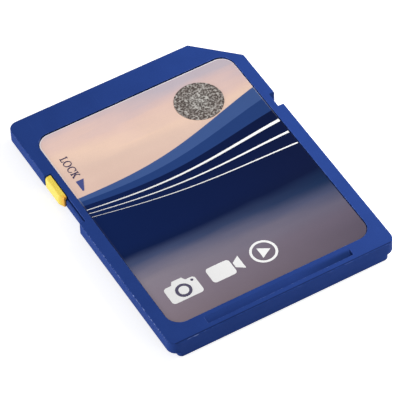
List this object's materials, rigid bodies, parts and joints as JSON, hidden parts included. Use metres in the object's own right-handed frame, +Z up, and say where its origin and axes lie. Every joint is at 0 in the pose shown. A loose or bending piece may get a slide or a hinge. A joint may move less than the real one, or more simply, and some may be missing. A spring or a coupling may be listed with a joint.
{
  "type": "memory card",
  "caption": "Flat rectangular memory card with a cut corner, stepped side rails, recessed gold contacts, a recessed label and a sliding write-protect tab.",
  "frame": {"origin": "middle of the back face, on the surface that the card lies on", "axes": "+X across the card towards the cut corner, +Y along the card towards the contact end, +Z up through the label side"},
  "size_m": [0.024, 0.032, 0.0021],
  "materials": {
    "shell": "fine satin moulded blue plastic",
    "slider": "satin moulded yellow plastic",
    "label": "printed film with soft colour bands",
    "foil": "fine-grained silver foil",
    "board": "green solder mask",
    "gold": "gold plating with fine slide marks",
    "package": "matt black moulding compound",
    "lead": "tinned leads",
    "capacitor": "brown ceramic with tinned ends",
    "resistor": "black glazed ceramic with tinned ends"
  },
  "bodies": {
    "card": {"bottom_cover": "shell", "top_cover": "shell", "front_label": "label", "security_seal": "foil", "circuit_board": "board", "flash_memory": "package", "flash_leads": "lead", "controller_chip": "package", "contact_1": "gold", "contact_2": "gold", "contact_3": "gold", "contact_4": "gold", "contact_5": "gold", "contact_6": "gold", "contact_7": "gold", "contact_8": "gold", "contact_9": "gold", "capacitor_1": "capacitor", "capacitor_2": "capacitor", "capacitor_3": "capacitor", "capacitor_4": "capacitor", "capacitor_5": "capacitor", "resistor_1": "resistor", "resistor_2": "resistor", "resistor_3": "resistor", "resistor_4": "resistor"},
    "slider": {"write_protect_slider": "slider"}
  },
  "joints": [
    {"name": "write_protect_slide", "type": "slide", "parent": "card", "child": "slider", "axis": [0, -1, 0], "range_m": [0, 0.0024]}
  ]
}
